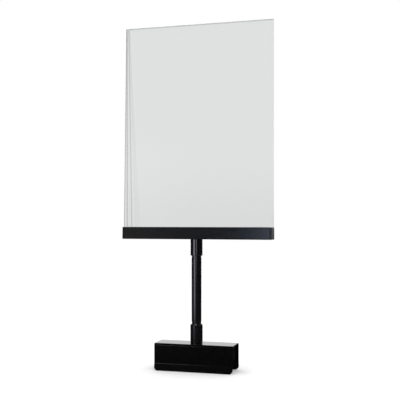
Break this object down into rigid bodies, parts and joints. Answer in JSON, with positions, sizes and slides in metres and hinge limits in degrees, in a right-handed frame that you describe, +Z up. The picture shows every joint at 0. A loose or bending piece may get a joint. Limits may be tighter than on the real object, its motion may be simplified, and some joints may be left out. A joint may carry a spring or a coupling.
{
  "type": "sign stand",
  "caption": "Sign stand: a clear folded acrylic sleeve in a black channel bar, on a short round stem with a saddle foot that drops over a rail.",
  "frame": {"origin": "on the plane of the saddle's lip edges, under the stem's axis, which is the middle of the object's box at its bottom", "axes": "+X along the sign's width, -Y the sign's front, +Z up along the stem"},
  "size_m": [0.2166, 0.0406, 0.4874],
  "materials": {
    "powder_coat": "smooth semi-gloss black powder coat on folded sheet steel",
    "stem_black": "semi-gloss black coating on turned steel",
    "bar_black": "satin black powder coat on the channel bar",
    "cap_plastic": "fine-textured moulded black plastic",
    "spacer_plastic": "black extruded plastic",
    "pad_rubber": "firm black foam rubber",
    "felt": "thin black protective felt tape",
    "screw_steel": "zinc-plated steel",
    "screw_black": "blackened steel screws",
    "plug_steel": "plain turned steel",
    "nylon": "natural nylon",
    "clear_acrylic": "clear polished acrylic"
  },
  "bodies": {
    "stand": {"saddle": "powder_coat", "seat_pad": "pad_rubber", "liner_front": "felt", "liner_back": "felt", "saddle_screw": "screw_steel", "saddle_washer": "screw_steel", "lower_collar": "stem_black", "lower_plug": "plug_steel", "stem_tube": "stem_black", "upper_plug": "plug_steel", "swivel_washer": "nylon", "head_screw": "screw_steel", "head_washer": "screw_steel"},
    "head": {"upper_collar": "stem_black", "bar_channel": "bar_black", "end_cap_left": "cap_plastic", "end_cap_right": "cap_plastic", "front_grip": "pad_rubber", "slot_spacer": "spacer_plastic", "spacer_screws": "screw_black"},
    "sleeve": {"clear_sleeve": "clear_acrylic"}
  },
  "joints": [
    {"name": "head_swivel", "type": "hinge", "parent": "stand", "child": "head", "pos_m": [0, 0, 0.1834], "axis": [0, 0, 1], "continuous": true},
    {"name": "sleeve_lift", "type": "slide", "parent": "head", "child": "sleeve", "axis": [0, 0, 1], "range_m": [0, 0.03]}
  ]
}
